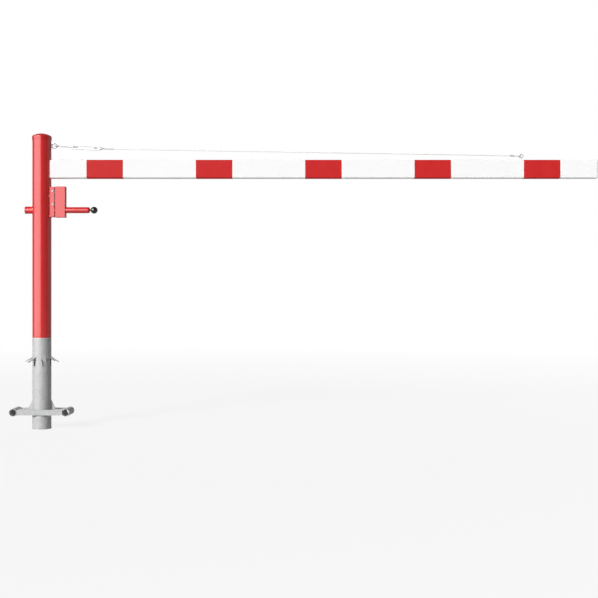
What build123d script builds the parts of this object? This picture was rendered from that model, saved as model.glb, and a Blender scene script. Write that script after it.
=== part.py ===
from build123d import *
import math
import os

# A manual swing barrier. X runs along the arm, Y is across it and Z is up.
# The origin lies on the turning axis, under the foot of the buried ground tube.

# Driving dimensions of the post, in millimetres
ground_level = 500.0
tube_diameter = 101.6
tube_wall = 3.6
foot_thickness = 5.0
cap_rim_height = 20.0
cap_wall = 1.8
cap_dome_height = 15.5
cap_shoulder_round = 5.0
cap_top_thickness = 3.0
post_above_eye = 50.0

# Driving dimensions of the turning bearing
pivot_wall = 4.0
pivot_depth = 200.0
pivot_above_bolt = 87.5
bearing_room = 2.75
washer_thickness = 3.0
washer_inset = 1.2
ring_height = 14.0
bush_height = 40.0
bush_edge = 12.0
running_gap = 0.3
weld_gap = 0.05

# Driving dimensions of the ground anchor
claw_count = 6
claw_first_angle = 235.0
claw_depth = 105.0
claw_width = 24.0
claw_tip_width = 12.0
claw_length = 50.0
claw_bend = 60.0
anchor_height = 78.0
anchor_bar_height = 30.0
anchor_bar_thickness = 8.0
anchor_half_span = 144.0
anchor_tube_diameter = 42.4
anchor_tube_wall = 2.6
gusset_reach = 24.0
gusset_rise = 50.0

# Driving dimensions of the arm
arm_length = 3000.0
arm_height = 100.0
arm_depth = 50.0
arm_wall = 3.0
arm_corner = 6.0
arm_underside = 877.0
arm_start_gap = 0.2
spigot_length = 250.0
spigot_wall = 4.0
spigot_clearance = 0.5
arm_screw_places = (60.0, 170.0)
arm_screw_radius = 4.0
arm_screw_head_radius = 7.0
arm_screw_head_height = 4.5
end_cap_flange = 6.0
end_cap_plug = 25.0
end_cap_wall = 2.5
end_cap_clearance = 0.3

# Driving dimensions of the red bands on the arm
stripe_first = 200.0
stripe_width = 200.0
stripe_pitch = 600.0
film_thickness = 0.3

# Driving dimensions of the stay
post_eye_reach = 16.8
post_eye_rise = 79.0
post_eye_radius = 13.0
eye_rod_radius = 3.5
post_eye_shank = 13.0
arm_eye_to_stripe = 10.0
arm_eye_rise = 24.5
arm_eye_radius = 10.0
arm_eye_rod_radius = 3.0
arm_eye_shank = 17.0
arm_eye_nut_width = 10.0
arm_eye_nut_height = 5.0
link_gap = 0.3
link_eye_radius = 9.0
thread_radius = 4.0
thread_clearance = 0.2
turnbuckle_slope = 3.0
frame_start = 89.0
frame_length = 170.0
frame_height = 24.0
frame_window_height = 12.0
frame_thickness = 8.0
frame_boss_radius = 7.0
frame_boss_length = 18.0
thread_inside = 22.0
lock_nut_height = 5.0
lock_nut_width = 13.0
wire_radius = 2.0
swage_length = 45.0
swage_thread_out = 25.0
ferrule_length = 22.0
ferrule_width = 13.0
ferrule_height = 9.0
thimble_inner_radius = 5.0
thimble_wall = 2.0
thimble_height = 6.5
loop_length = 27.0
loop_leg_gap = 0.7
eye_nut_width = 15.0
eye_nut_height = 4.0

# Driving dimensions of the lock
lock_below_arm = 45.5
lock_tall = 169.5
lock_wall = 2.5
lock_side_room = 0.15
bracket_reach = 22.2
bracket_inset = 2.0
case_gap = 5.0
case_length = 53.0
block_inset = 2.7
block_above_bolt = 6.65
block_clearance = 0.3
lock_screw_rises = (30.2, 101.5)
lock_screw_reach = 13.2
lock_screw_radius = 3.0
lock_screw_head_radius = 5.0
lock_screw_head_height = 3.0
lock_nut_across = 10.0
lock_small_nut_height = 5.0
bolt_radius = 16.85
bolt_above_case_floor = 40.5
bolt_tip_inset = 0.8
bolt_out = 133.6
bolt_clearance = 0.5
bolt_nose_chamfer = 3.0
bolt_end_round = 10.0
bolt_cross_hole_radius = 4.5
bolt_cross_hole_place = 144.7
ball_radius = 19.0
ball_neck = 4.0
ball_flat_radius = 7.0
stud_radius = 5.0
stud_grip = 20.0
keeper_wall = 2.6
keeper_length = 40.2

# Values that follow from the driving dimensions
tube_radius = tube_diameter / 2
tube_bore = tube_radius - tube_wall
pivot_radius = tube_bore - bearing_room
post_foot_height = ground_level + running_gap
arm_start = tube_radius + arm_start_gap
arm_end = arm_start + arm_length
arm_low = ground_level + arm_underside
arm_top = arm_low + arm_height
arm_middle = arm_low + arm_height / 2
arm_bore_height = arm_height - 2 * arm_wall
arm_bore_depth = arm_depth - 2 * arm_wall
stripe_count = 1 + int((arm_length - stripe_first - stripe_width) // stripe_pitch)
last_stripe = arm_start + stripe_first + (stripe_count - 1) * stripe_pitch
lock_top = arm_low - lock_below_arm
lock_bottom = lock_top - lock_tall
bolt_z = lock_bottom + bolt_above_case_floor
bolt_hole_radius = bolt_radius + bolt_clearance
lock_half_depth = bolt_hole_radius + lock_side_room + lock_wall
bracket_end = tube_radius + bracket_reach
case_start = bracket_end + case_gap
case_end = case_start + case_length
lock_screw_place = tube_radius + lock_screw_reach
bolt_start = tube_radius - bolt_tip_inset
bolt_end = case_end + bolt_out
ball_centre = bolt_end + ball_neck + ball_radius
keeper_tip = tube_radius + keeper_length
pivot_top = bolt_z + pivot_above_bolt
post_eye_x = tube_radius + post_eye_reach
post_eye_z = arm_top + post_eye_rise
post_top = post_eye_z + post_above_eye
arm_eye_x = last_stripe - arm_eye_to_stripe
arm_eye_z = arm_top + arm_eye_rise
turnbuckle_line = Location((post_eye_x, 0, post_eye_z), (0, turnbuckle_slope, 0))
frame_end = frame_start + frame_length
swage_start = frame_end + swage_thread_out
wire_start = swage_start + swage_length
wire_x = post_eye_x + wire_start * math.cos(math.radians(turnbuckle_slope))
wire_z = post_eye_z - wire_start * math.sin(math.radians(turnbuckle_slope))
wire_reach = math.hypot(arm_eye_x - wire_x, wire_z - arm_eye_z)
wire_slope = math.degrees(math.atan2(wire_z - arm_eye_z, arm_eye_x - wire_x))
wire_line = Location((wire_x, 0, wire_z), (0, wire_slope, 0))
arm_eye_bore = arm_eye_radius - arm_eye_rod_radius
thimble_seat = math.sqrt(arm_eye_bore**2 - (thimble_height / 2) ** 2)
loop_radius = thimble_inner_radius + thimble_wall + wire_radius
loop_centre = wire_reach - thimble_seat + link_gap - thimble_inner_radius
ferrule_end = loop_centre - loop_length - loop_leg_gap
wire_end = ferrule_end - ferrule_length


# Shared shapes


def block(x0, x1, y0, y1, z0, z1):
    """A box between two corners."""
    centre = ((x0 + x1) / 2, (y0 + y1) / 2, (z0 + z1) / 2)
    return Pos(*centre) * Box(x1 - x0, y1 - y0, z1 - z0)


def disc(radius, z0, z1):
    """A round bar on the turning axis."""
    return Pos(0, 0, (z0 + z1) / 2) * Cylinder(radius, z1 - z0)


def ring(outer, inner, z0, z1):
    """A tube on the turning axis."""
    return disc(outer, z0, z1) - disc(inner, z0, z1)


def rod_x(radius, x0, x1, y=0, z=0):
    """A round bar along X."""
    return Pos((x0 + x1) / 2, y, z) * Rot(0, 90, 0) * Cylinder(radius, x1 - x0)


def rod_y(radius, y0, y1, x=0, z=0):
    """A round bar along Y."""
    return Pos(x, (y0 + y1) / 2, z) * Rot(90, 0, 0) * Cylinder(radius, y1 - y0)


def rod_z(radius, z0, z1, x=0, y=0):
    """A round bar along Z."""
    return Pos(x, y, (z0 + z1) / 2) * Cylinder(radius, z1 - z0)


def hex_nut(across_flats, height, bore):
    """A hexagon nut on its own Z axis, standing on the XY plane."""
    corner = across_flats / 2 / math.cos(math.pi / 6)
    nut = extrude(RegularPolygon(corner, 6), height)
    return nut - Pos(0, 0, height / 2) * Cylinder(bore, height)


def section_x(x, z, depth, height, corner):
    """A rounded rectangle across X, centred at that height."""
    plane = Plane(origin=(x, 0, z), x_dir=(0, 1, 0), z_dir=(1, 0, 0))
    return plane * RectangleRounded(depth, height, corner)


def off_the_tube(piece):
    """Cuts a piece back to the round wall of the post."""
    bounds = piece.bounding_box()
    return piece - disc(tube_radius + weld_gap, bounds.min.Z - 1, bounds.max.Z + 1)


# The part that stays in the ground


def claw_outline(rise):
    """The tapered outline of a claw below its root line, carried on above that line by a rise."""
    slope = (claw_width - claw_tip_width) / 2 / claw_length
    half_width = claw_width / 2 + slope * rise
    outline = Polyline(
        (-half_width, rise),
        (half_width, rise),
        (claw_tip_width / 2, -claw_length),
        (-claw_tip_width / 2, -claw_length),
        close=True,
    )
    return make_face(outline)


def claw(angle):
    """A tongue of the tube wall, cut on three sides and bent outwards, and the window that it leaves."""
    top = ground_level - claw_depth
    bend = math.radians(claw_bend)
    out = (math.sin(bend), -math.cos(bend))
    tip = (tube_radius + claw_length * out[0], top + claw_length * out[1])
    tip_inside = (tip[0] + tube_wall * out[1], tip[1] - tube_wall * out[0])
    root = tube_wall * (1 - math.cos(bend)) / math.sin(bend)
    profile = Polyline(
        (tube_bore, top + tube_wall),
        (tube_radius, top + tube_wall),
        (tube_radius, top),
        tip,
        tip_inside,
        (tube_bore, top - root),
        close=True,
    )
    reach = 2 * tube_wall
    flat = Plane(origin=(tube_radius, 0, top), x_dir=(0, 1, 0), z_dir=(1, 0, 0))
    bent = Plane(origin=(tube_radius, 0, top), x_dir=(0, 1, 0), z_dir=(-out[1], 0, out[0]))
    tongue = extrude(Plane.XZ * make_face(profile), claw_width / 2, both=True)
    tongue = tongue & extrude(bent * claw_outline(reach), reach, both=True)
    window = extrude(flat * claw_outline(0), reach, both=True)
    turn = Rot(0, 0, angle)
    return turn * tongue, turn * window


def ground_tube():
    tube = ring(tube_radius, tube_bore, foot_thickness, ground_level - washer_thickness)
    for number in range(claw_count):
        tongue, window = claw(claw_first_angle + number * 360 / claw_count)
        tube = tube - window + tongue
    return tube


def anchor_bar(side):
    """A flat bar laid against the front or back of the ground tube."""
    inner = tube_radius + weld_gap
    outer = inner + anchor_bar_thickness
    span = anchor_half_span
    bar = block(
        -span,
        span,
        min(side * inner, side * outer),
        max(side * inner, side * outer),
        anchor_height,
        anchor_height + anchor_bar_height,
    )
    for end in (-1, 1):
        bar -= anchor_cross_bore(end)
    return bar


def anchor_cross_bore(side):
    """The room that a cross tube takes out of the pieces welded to it."""
    reach = tube_radius + 2 * anchor_bar_thickness
    radius = anchor_tube_diameter / 2 + weld_gap
    return rod_y(radius, -reach, reach, side * anchor_half_span, anchor_tube_height())


def anchor_tube_height():
    return anchor_height + anchor_bar_height / 2


def anchor_web(side):
    """A plate on edge from the ground tube to a cross tube, with its gusset in one."""
    low = anchor_height
    high = anchor_height + anchor_bar_height
    profile = Polyline(
        (0, low),
        (anchor_half_span, low),
        (anchor_half_span, high),
        (tube_radius + gusset_reach, high),
        (tube_radius, high + gusset_rise),
        (0, high + gusset_rise),
        close=True,
    )
    web = extrude(Plane.XZ * make_face(profile), anchor_bar_thickness / 2, both=True)
    if side < 0:
        web = web.mirror(Plane.YZ)
    return off_the_tube(web) - anchor_cross_bore(side)


def anchor_tube(side):
    reach = tube_radius + anchor_bar_thickness + weld_gap
    outer = rod_y(anchor_tube_diameter / 2, -reach, reach, side * anchor_half_span, anchor_tube_height())
    bore = anchor_tube_diameter / 2 - anchor_tube_wall
    return outer - rod_y(bore, -reach, reach, side * anchor_half_span, anchor_tube_height())


def pivot_tube():
    """The fixed inner tube that the post turns on, with holes for the lock bolt every quarter turn."""
    tube = ring(
        pivot_radius,
        pivot_radius - pivot_wall,
        ground_level - pivot_depth,
        pivot_top,
    )
    hole = bolt_hole_radius + bolt_clearance
    tube -= rod_x(hole, -tube_radius, tube_radius, 0, bolt_z)
    return tube - rod_y(hole, -tube_radius, tube_radius, 0, bolt_z)


def centring_ring(low):
    return ring(tube_bore - weld_gap, pivot_radius + weld_gap, low, low + ring_height)


def thrust_washer():
    """The slip ring that carries the post on the rim of the ground tube."""
    return ring(
        tube_radius - washer_inset,
        pivot_radius + running_gap,
        ground_level - washer_thickness,
        ground_level,
    )


# The post that turns


def post_tube():
    tube = ring(tube_radius, tube_bore, post_foot_height, post_top)
    tube -= rod_x(bolt_hole_radius, -2 * tube_radius, 2 * tube_radius, 0, bolt_z)
    return tube - rod_x(eye_rod_radius + thread_clearance, 0, 2 * tube_radius, 0, post_eye_z)


def bearing_bush(low):
    return ring(tube_bore - weld_gap, pivot_radius + running_gap, low, low + bush_height)


def post_cap():
    """A cap with a straight rim over the tube and a shallow dome, turned from its profile."""
    low = post_top - cap_rim_height + cap_top_thickness
    rim_top = low + cap_rim_height
    outer = tube_radius + cap_wall
    inner = tube_radius + weld_gap
    dome_radius = (outer**2 + cap_dome_height**2) / (2 * cap_dome_height)
    dome_centre = rim_top + cap_dome_height - dome_radius
    halfway = math.asin(outer / dome_radius) / 2
    on_dome = (dome_radius * math.sin(halfway), dome_centre + dome_radius * math.cos(halfway))
    outline = [
        Polyline((0, post_top + weld_gap), (inner, post_top + weld_gap), (inner, low), (outer, low)),
        Line((outer, low), (outer, rim_top)),
        ThreePointArc((outer, rim_top), on_dome, (0, rim_top + cap_dome_height)),
        Line((0, rim_top + cap_dome_height), (0, post_top + weld_gap)),
    ]
    profile = make_face(outline)
    shoulder = profile.vertices().sort_by_distance(Vector(outer, rim_top))[0]
    return revolve(Plane.XZ * fillet(shoulder, cap_shoulder_round), Axis.Z)


def bolt_keeper():
    """The short tube on the back of the post that takes the tip of the lock bolt."""
    keeper = rod_x(bolt_hole_radius + keeper_wall, -keeper_tip, 0, 0, bolt_z)
    return off_the_tube(keeper) - rod_x(bolt_hole_radius, -keeper_tip, 0, 0, bolt_z)


# The arm


def arm_spigot():
    """The rectangular stub, welded to the post, that the arm is pushed over."""
    depth = arm_bore_depth - 2 * spigot_clearance
    height = arm_bore_height - 2 * spigot_clearance
    corner = arm_corner - arm_wall
    outer = section_x(0, arm_middle, depth, height, corner)
    inner = section_x(0, arm_middle, depth - 2 * spigot_wall, height - 2 * spigot_wall, corner)
    stub = off_the_tube(extrude(outer - inner, arm_start + spigot_length))
    stub -= block(-tube_radius, 0, -arm_depth, arm_depth, arm_low, arm_top)
    for place in arm_screw_places:
        stub -= arm_screw_hole(place)
    return stub


def arm_screw_hole(place):
    hole = arm_screw_radius + thread_clearance
    return rod_z(hole, arm_middle, arm_top + arm_wall, arm_start + place)


def arm_tube():
    outer = section_x(arm_start, arm_middle, arm_depth, arm_height, arm_corner)
    inner = section_x(arm_start, arm_middle, arm_bore_depth, arm_bore_height, arm_corner - arm_wall)
    arm = extrude(outer - inner, arm_length)
    for place in arm_screw_places:
        arm -= arm_screw_hole(place)
    hole = arm_eye_rod_radius + thread_clearance
    return arm - rod_z(hole, arm_middle, arm_top + arm_wall, arm_eye_x)


def arm_screws():
    """Button head screws through the top of the arm into its spigot."""
    screws = []
    for place in arm_screw_places:
        x = arm_start + place
        head = rod_z(arm_screw_head_radius, arm_top, arm_top + arm_screw_head_height, x)
        head = fillet(head.edges().group_by(Axis.Z)[-1], arm_screw_head_height * 0.6)
        depth = arm_wall + spigot_clearance + 2 * spigot_wall
        screws.append(head + rod_z(arm_screw_radius, arm_top - depth, arm_top, x))
    return Compound(screws)


def arm_end_cap():
    flange = extrude(section_x(arm_end, arm_middle, arm_depth, arm_height, arm_corner), end_cap_flange)
    flange = fillet(flange.edges().group_by(Axis.X)[-1], end_cap_wall)
    depth = arm_bore_depth - 2 * end_cap_clearance
    height = arm_bore_height - 2 * end_cap_clearance
    corner = arm_corner - arm_wall
    plug = section_x(arm_end, arm_middle, depth, height, corner)
    plug -= section_x(arm_end, arm_middle, depth - 2 * end_cap_wall, height - 2 * end_cap_wall, 1)
    return flange + extrude(plug, -end_cap_plug)


def stripe(number):
    """A band of red film wrapped round the arm."""
    x = arm_start + stripe_first + number * stripe_pitch
    skin = 2 * film_thickness
    outer = section_x(x, arm_middle, arm_depth + skin, arm_height + skin, arm_corner + film_thickness)
    inner = section_x(x, arm_middle, arm_depth, arm_height, arm_corner)
    return extrude(outer - inner, stripe_width)


# The stay


def stay_eye_bolt():
    eye = Rot(90, 0, 0) * Torus(post_eye_radius, eye_rod_radius)
    inside = post_eye_x - tube_bore + post_eye_shank
    return Pos(post_eye_x, 0, post_eye_z) * (eye + rod_x(eye_rod_radius, -inside, -post_eye_radius))


def stay_eye_nuts():
    """Two nuts locked against each other inside the post wall."""
    bore = eye_rod_radius + thread_clearance
    nut = Rot(0, 90, 0) * hex_nut(eye_nut_width, eye_nut_height, bore)
    inner_face = math.sqrt(tube_bore**2 - (eye_nut_width * 0.6) ** 2)
    near = inner_face - weld_gap - eye_nut_height
    far = near - weld_gap - eye_nut_height
    return Compound([Pos(near, 0, post_eye_z) * nut, Pos(far, 0, post_eye_z) * nut])


def turnbuckle_eye_rod():
    """The rod from the post eye into the turnbuckle, with its eye lying flat."""
    centre = post_eye_radius + link_eye_radius - 2 * eye_rod_radius - link_gap
    eye = Pos(centre, 0, 0) * Torus(link_eye_radius, eye_rod_radius)
    end = frame_start + frame_boss_length + thread_inside
    neck = rod_x(eye_rod_radius, centre + link_eye_radius, frame_start - lock_nut_height - 8)
    thread = rod_x(thread_radius, frame_start - lock_nut_height - 8, end)
    return turnbuckle_line * (eye + neck + thread)


def turnbuckle_frame():
    """The open frame of the turnbuckle: two bars between two threaded ends."""
    middle = (frame_start + frame_end) / 2
    face = RectangleRounded(frame_length, frame_height, frame_height / 2.2)
    window = frame_length - 2 * frame_boss_length
    face -= RectangleRounded(window, frame_window_height, frame_window_height / 2.2)
    side = Plane(origin=(middle, 0, 0), x_dir=(1, 0, 0), z_dir=(0, -1, 0))
    bars = extrude(side * face, frame_thickness / 2, both=True)
    bars = fillet(bars.edges().filter_by(Axis.X), frame_thickness / 4)
    for end in (frame_start, frame_end - frame_boss_length):
        bars += rod_x(frame_boss_radius, end, end + frame_boss_length)
    return turnbuckle_line * (bars - rod_x(thread_radius + thread_clearance, frame_start, frame_end))


def turnbuckle_lock_nuts():
    nut = Rot(0, 90, 0) * hex_nut(lock_nut_width, lock_nut_height, thread_radius + thread_clearance)
    near = Pos(frame_start - lock_nut_height - weld_gap, 0, 0) * nut
    far = Pos(frame_end + weld_gap, 0, 0) * nut
    return turnbuckle_line * Compound([near, far])


def turnbuckle_wire_stud():
    """The threaded stud with the sleeve that is pressed on the wire."""
    stud = rod_x(thread_radius, frame_end - frame_boss_length - thread_inside, swage_start)
    sleeve = Cone(thread_radius, wire_radius + 1, swage_length)
    return turnbuckle_line * (stud + Pos((swage_start + wire_start) / 2, 0, 0) * Rot(0, 90, 0) * sleeve)


def teardrop(radius, half_gap, length):
    """The line round a thimble: a leg, three quarters of a circle and a leg back, in the XY plane."""
    leg = Vector(loop_centre - length, half_gap)
    distance = math.hypot(length, half_gap)
    turn = math.atan2(half_gap, -length) - math.acos(radius / distance)
    touch = Vector(loop_centre + radius * math.cos(turn), radius * math.sin(turn))
    back = Vector(touch.X, -touch.Y)
    far = Vector(loop_centre + radius, 0)
    return [
        Line(leg, touch),
        ThreePointArc(touch, far, back),
        Line(back, Vector(leg.X, -leg.Y)),
    ]


def wire_loop(radius):
    """A rod of that radius bent along the wire's line round the thimble."""
    path = Wire(teardrop(loop_radius, wire_radius + weld_gap, loop_length))
    start = Plane(origin=path @ 0, z_dir=path % 0)
    return sweep(start * Circle(radius), path=path)


def stay_wire():
    """The straight wire and its loop, which meet inside the ferrule."""
    straight = rod_x(wire_radius, 2 * weld_gap, wire_end)
    return wire_line * Compound([straight, wire_loop(wire_radius)])


def stay_ferrule():
    plane = Plane(origin=(wire_end, 0, 0), x_dir=(0, 1, 0), z_dir=(1, 0, 0))
    body = extrude(plane * SlotOverall(ferrule_width, ferrule_height), ferrule_length)
    ends = body.edges().group_by(Axis.X)
    return wire_line * fillet([*ends[0], *ends[-1]], 1)


def thimble_face(radius, half_gap, length):
    lines = teardrop(radius, half_gap, length)
    return make_face([*lines, Line(lines[2] @ 1, lines[0] @ 0)])


def stay_thimble():
    """The grooved lining of the wire loop."""
    outer = thimble_face(loop_radius, wire_radius + 1, loop_length - 3)
    inner = thimble_face(thimble_inner_radius, 1, loop_length - 8)
    lining = extrude(outer - inner, thimble_height / 2, both=True)
    return wire_line * (lining - wire_loop(wire_radius + weld_gap))


def arm_eye_bolt():
    eye = Rot(90, 0, 0) * Torus(arm_eye_radius, arm_eye_rod_radius)
    below = arm_eye_rise + arm_eye_shank
    shank = rod_z(arm_eye_rod_radius, -below, -arm_eye_radius)
    return Pos(arm_eye_x, 0, arm_eye_z) * (eye + shank)


def arm_eye_nuts():
    """A nut on the top of the arm and one under its wall."""
    nut = hex_nut(arm_eye_nut_width, arm_eye_nut_height, arm_eye_rod_radius + thread_clearance)
    above = Pos(arm_eye_x, 0, arm_top) * nut
    below = Pos(arm_eye_x, 0, arm_top - arm_wall - arm_eye_nut_height) * nut
    return Compound([above, below])


# The lock


def lock_shell(x0, x1, low, high):
    """A sheet metal box that is open at its post end."""
    outer = block(x0, x1, -lock_half_depth, lock_half_depth, low, high)
    outer = fillet(outer.edges().filter_by(Axis.X), lock_wall / 2)
    inside = lock_half_depth - lock_wall
    return outer - block(0, x1, -inside, inside, low + lock_wall, high - lock_wall)


def lock_bracket():
    """The open box welded to the post that carries the lock case."""
    bracket = lock_shell(0, bracket_end, lock_bottom + bracket_inset, lock_top - bracket_inset)
    bracket = off_the_tube(bracket) - block(-tube_radius, 0, -tube_radius, tube_radius, lock_bottom, lock_top)
    for rise in lock_screw_rises:
        bracket -= lock_screw_hole(rise)
    return bracket


def lock_screw_hole(rise):
    hole = lock_screw_radius + thread_clearance
    return rod_y(hole, -2 * lock_half_depth, 2 * lock_half_depth, lock_screw_place, bolt_z + rise)


def lock_case():
    """The box over the lock, closed at its far end but for the bolt's hole."""
    case = lock_shell(case_start, case_end - lock_wall, lock_bottom, lock_top)
    end = block(case_end - lock_wall, case_end, -lock_half_depth, lock_half_depth, lock_bottom, lock_top)
    end = fillet(end.edges().filter_by(Axis.X), lock_wall / 2)
    return case + end - rod_x(bolt_hole_radius, case_start, case_end, 0, bolt_z)


def lock_block():
    """The block inside both boxes, which takes the latch and holds the case on the bracket."""
    inside = lock_half_depth - lock_wall - block_clearance
    body = block(
        tube_radius + block_inset,
        case_end - lock_wall - block_clearance,
        -inside,
        inside,
        bolt_z + bolt_radius + block_above_bolt,
        lock_top - bracket_inset - lock_wall - block_clearance,
    )
    for rise in lock_screw_rises:
        body -= lock_screw_hole(rise)
    return body


def lock_screws():
    """Screws through the front of the bracket and the block behind it."""
    screws = []
    for rise in lock_screw_rises:
        z = bolt_z + rise
        face = lock_half_depth + weld_gap
        head = rod_y(lock_screw_head_radius, -face - lock_screw_head_height, -face, lock_screw_place, z)
        head = fillet(head.edges().group_by(Axis.Y)[0], lock_screw_head_height * 0.6)
        end = face + lock_small_nut_height + 1
        screws.append(head + rod_y(lock_screw_radius, -face, end, lock_screw_place, z))
    return Compound(screws)


def lock_nuts():
    nuts = []
    for rise in lock_screw_rises:
        nut = hex_nut(lock_nut_across, lock_small_nut_height, lock_screw_radius + weld_gap)
        place = Pos(lock_screw_place, lock_half_depth + weld_gap, bolt_z + rise)
        nuts.append(place * Rot(-90, 0, 0) * nut)
    return Compound(nuts)


def lock_bolt():
    """The sliding bolt with a chamfered nose, a rounded handle end and a cross hole."""
    bolt = rod_x(bolt_radius, bolt_start, bolt_end, 0, bolt_z)
    bolt = chamfer(bolt.edges().group_by(Axis.X)[0], bolt_nose_chamfer)
    bolt = fillet(bolt.edges().group_by(Axis.X)[-1], bolt_end_round)
    hole_x = bolt_start + bolt_cross_hole_place
    bolt -= rod_y(bolt_cross_hole_radius, -2 * bolt_radius, 2 * bolt_radius, hole_x, bolt_z)
    return bolt - rod_x(stud_radius + weld_gap, bolt_end - stud_grip, bolt_end, 0, bolt_z)


def ball_stud():
    return rod_x(stud_radius, bolt_end - stud_grip, ball_centre, 0, bolt_z)


def ball_knob():
    """A ball with a flat seat round its stud."""
    ball = Pos(ball_centre, 0, bolt_z) * Sphere(ball_radius)
    flat = ball_centre - math.sqrt(ball_radius**2 - ball_flat_radius**2)
    ball -= block(flat - ball_radius, flat, -ball_radius, ball_radius, bolt_z - ball_radius, bolt_z + ball_radius)
    return ball - rod_x(stud_radius + weld_gap, flat - 1, ball_centre + weld_gap, 0, bolt_z)


def nodes():
    """Every piece of the barrier by name."""
    pieces = {
        "foot_plate": disc(tube_radius, 0, foot_thickness),
        "ground_tube": ground_tube(),
        "anchor_bar_front": anchor_bar(-1),
        "anchor_bar_back": anchor_bar(1),
        "anchor_web_left": anchor_web(-1),
        "anchor_web_right": anchor_web(1),
        "anchor_tube_left": anchor_tube(-1),
        "anchor_tube_right": anchor_tube(1),
        "pivot_tube": pivot_tube(),
        "centring_ring_lower": centring_ring(ground_level - pivot_depth),
        "centring_ring_upper": centring_ring(ground_level - washer_thickness - ring_height),
        "thrust_washer": thrust_washer(),
        "post_tube": post_tube(),
        "bearing_bush_lower": bearing_bush(ground_level + bush_edge),
        "bearing_bush_upper": bearing_bush(pivot_top - bush_edge - bush_height),
        "post_cap": post_cap(),
        "bolt_keeper": bolt_keeper(),
        "arm_spigot": arm_spigot(),
        "arm_tube": arm_tube(),
        "arm_screws": arm_screws(),
        "arm_end_cap": arm_end_cap(),
        "stay_eye_bolt": stay_eye_bolt(),
        "stay_eye_nuts": stay_eye_nuts(),
        "turnbuckle_eye_rod": turnbuckle_eye_rod(),
        "turnbuckle_frame": turnbuckle_frame(),
        "turnbuckle_lock_nuts": turnbuckle_lock_nuts(),
        "turnbuckle_wire_stud": turnbuckle_wire_stud(),
        "stay_wire": stay_wire(),
        "stay_ferrule": stay_ferrule(),
        "stay_thimble": stay_thimble(),
        "arm_eye_bolt": arm_eye_bolt(),
        "arm_eye_nuts": arm_eye_nuts(),
        "lock_bracket": lock_bracket(),
        "lock_case": lock_case(),
        "lock_block": lock_block(),
        "lock_screws": lock_screws(),
        "lock_nuts": lock_nuts(),
        "lock_bolt": lock_bolt(),
        "ball_stud": ball_stud(),
        "ball_knob": ball_knob(),
    }
    for number in range(stripe_count):
        pieces[f"arm_stripe_{number + 1}"] = stripe(number)
    return pieces


os.makedirs("parts", exist_ok=True)
for name, piece in nodes().items():
    export_step(piece, f"parts/{name}.step")
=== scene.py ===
import math

import bpy
import numpy as np
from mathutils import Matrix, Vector


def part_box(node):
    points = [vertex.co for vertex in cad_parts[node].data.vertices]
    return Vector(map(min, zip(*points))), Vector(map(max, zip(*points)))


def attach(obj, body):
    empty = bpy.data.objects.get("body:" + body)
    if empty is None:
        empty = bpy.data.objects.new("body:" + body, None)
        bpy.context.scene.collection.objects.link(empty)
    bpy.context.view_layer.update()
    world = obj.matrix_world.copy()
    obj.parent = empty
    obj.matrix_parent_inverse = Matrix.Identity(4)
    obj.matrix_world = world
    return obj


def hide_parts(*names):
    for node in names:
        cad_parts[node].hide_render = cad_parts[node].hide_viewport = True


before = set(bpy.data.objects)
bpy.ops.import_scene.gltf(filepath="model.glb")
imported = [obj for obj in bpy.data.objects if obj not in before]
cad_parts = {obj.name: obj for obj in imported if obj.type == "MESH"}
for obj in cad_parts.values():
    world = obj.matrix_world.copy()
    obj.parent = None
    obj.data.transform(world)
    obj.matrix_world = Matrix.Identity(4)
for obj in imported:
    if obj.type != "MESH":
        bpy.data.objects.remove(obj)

# Everything is in metres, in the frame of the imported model: X along the arm, Y across it, Z up.

MM = 0.001

# Camera, from the vanishing point and the scale of the photograph
IMAGE_SIZE = 598
FOCAL_PIXELS = 967.0
SENSOR_WIDTH = 36.0
CAMERA_PLACE = (1.417, -5.33, 0.713)

# The turning post and the ground tube under it
TUBE_RADIUS = 50.8 * MM

# Packed fittings that take a copy of the zinc with painted light: a paler one, partly painted sheen, and a
# darker one as painted shade
FITTINGS_WITH_PAINTED_LIGHT = {
    "turnbuckle_frame": "pale_zinc_painted_sheen",
    "stay_ferrule": "pale_zinc_painted_sheen",
    "stay_thimble": "pale_zinc_painted_sheen",
    "arm_eye_bolt": "pale_zinc_painted_sheen",
    "ball_stud": "zinc_painted_shade",
}

# Radii and lengths of the stay's links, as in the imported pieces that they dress
EYE_ROD = 3.5 * MM
STAY_THREAD = 4.0 * MM
NECK_LENGTH = 13 * MM
SLEEVE_LENGTH = 45 * MM
SLEEVE_TIP = 3.0 * MM
ROPE_RADIUS = 2.0 * MM
LOOP_RADIUS = 9 * MM

# Turned, rolled, laid and welded detail
THREAD_PITCH = 1.25 * MM
THREAD_DEPTH = 0.65 * MM
ROPE_STRANDS = 6
ROPE_LAY = 26 * MM
WELD_RADIUS = 2.4 * MM
FINE_WELD_RADIUS = 2.0 * MM
FOOT_WELD_RADIUS = 1.6 * MM
WELD_RIPPLE = 3.2 * MM

# From the bolt's nose to its cross hole
BOLT_PIN_PLACE = 144.7 * MM

# Heights of the nuts on the post eye and on the rest of the stay
POST_EYE_NUT = 4 * MM
STAY_NUT = 5 * MM


# Meshes from grids of points


def skin(points, closed=False):
    """Joins the rings of a grid of points (ring, place round it, xyz) by quads.
    A closed grid joins its last ring to its first. An open one is shut at each end by a fan
    to the ring's middle."""
    rings, count, _ = points.shape
    ring = np.arange(rings if closed else rings - 1)[:, None]
    place = np.arange(count)[None, :]
    after, beside = (ring + 1) % rings, (place + 1) % count
    here, there = ring * count, after * count
    quads = np.broadcast_arrays(here + place, here + beside, there + beside, there + place)
    quads = np.stack(quads, -1).reshape(-1, 4)
    vertices = points.reshape(-1, 3)
    if closed:
        return vertices, [quads]
    vertices = np.vstack([vertices, points[0].mean(0), points[-1].mean(0)])
    middle = np.full(count, rings * count)
    place, beside = place[0], beside[0]
    first = np.stack([middle, beside, place], -1)
    last_ring = (rings - 1) * count
    last = np.stack([middle + 1, last_ring + place, last_ring + beside], -1)
    return vertices, [quads, first, last]


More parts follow.
